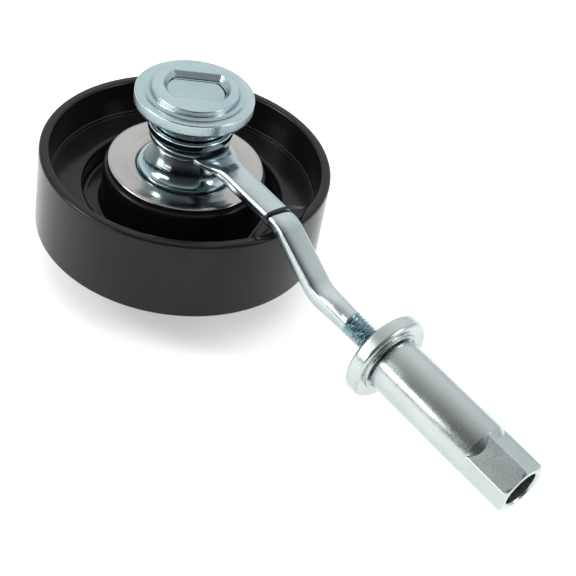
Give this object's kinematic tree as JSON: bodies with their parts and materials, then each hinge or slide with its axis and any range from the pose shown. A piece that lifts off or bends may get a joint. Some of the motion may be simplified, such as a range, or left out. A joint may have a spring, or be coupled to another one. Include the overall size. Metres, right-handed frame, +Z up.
{
  "type": "belt tensioner idler",
  "caption": "Smooth idler pulley on a sealed ball bearing, with a swivelling adjuster arm that ends in a threaded rod and a long hexagon-ended sleeve nut.",
  "frame": {"origin": "middle of the axle pin's lower end face", "axes": "+Z up the pulley axle towards the cap, +X along the adjuster arm towards the sleeve nut"},
  "size_m": [0.1526, 0.072, 0.0523],
  "materials": {
    "black_pulley": "satin black coating on pressed steel",
    "zinc_plate": "bright zinc plate with a faint blue tint",
    "cover_steel": "polished pressed steel",
    "bearing_steel": "ground bearing steel",
    "seal_rubber": "matt nitrile rubber",
    "cage_nylon": "moulded nylon",
    "black_wire": "black oxide wire"
  },
  "bodies": {
    "axle": {"axle_pin": "zinc_plate", "axle_cap": "zinc_plate", "neck_washer": "zinc_plate", "trumpet_collar": "zinc_plate", "dust_cover_upper": "cover_steel", "dust_cover_lower": "cover_steel", "bearing_inner_ring": "bearing_steel", "lower_collar": "zinc_plate", "lower_washer": "zinc_plate", "axle_nut": "zinc_plate"},
    "pulley": {"pulley_shell": "black_pulley", "bearing_outer_ring": "bearing_steel", "bearing_seal_upper": "seal_rubber", "bearing_seal_lower": "seal_rubber"},
    "ball_set": {"bearing_cage": "cage_nylon", "bearing_ball_1": "bearing_steel", "bearing_ball_2": "bearing_steel", "bearing_ball_3": "bearing_steel", "bearing_ball_4": "bearing_steel", "bearing_ball_5": "bearing_steel", "bearing_ball_6": "bearing_steel", "bearing_ball_7": "bearing_steel", "bearing_ball_8": "bearing_steel"},
    "arm": {"adjuster_arm": "zinc_plate", "wire_clip": "black_wire"},
    "thrust_washer": {"thrust_washer": "zinc_plate"},
    "sleeve_nut": {"sleeve_nut": "zinc_plate"}
  },
  "joints": [
    {"name": "pulley_spin", "type": "hinge", "parent": "axle", "child": "pulley", "pos_m": [0, 0, 0.0225], "axis": [0, 0, 1], "continuous": true},
    {"name": "ball_set_spin", "type": "hinge", "parent": "axle", "child": "ball_set", "pos_m": [0, 0, 0.0225], "axis": [0, 0, 1], "continuous": true},
    {"name": "arm_swing", "type": "hinge", "parent": "axle", "child": "arm", "pos_m": [0, 0, 0.039], "axis": [0, 0, 1], "continuous": true},
    {"name": "nut_travel", "type": "slide", "parent": "arm", "child": "thrust_washer", "axis": [0.9953, 0, -0.0971], "range_m": [-0.005, 0.01]},
    {"name": "sleeve_turn", "type": "hinge", "parent": "thrust_washer", "child": "sleeve_nut", "pos_m": [0.0712, 0, 0.0238], "axis": [0.9953, 0, -0.0971], "range_deg": [-1801, 3601]}
  ],
  "couplings": [
    {"joint": "ball_set_spin", "follows": "pulley_spin", "ratio": 0.616},
    {"joint": "sleeve_turn", "follows": "nut_travel", "rad_per_m": 6283.2}
  ]
}
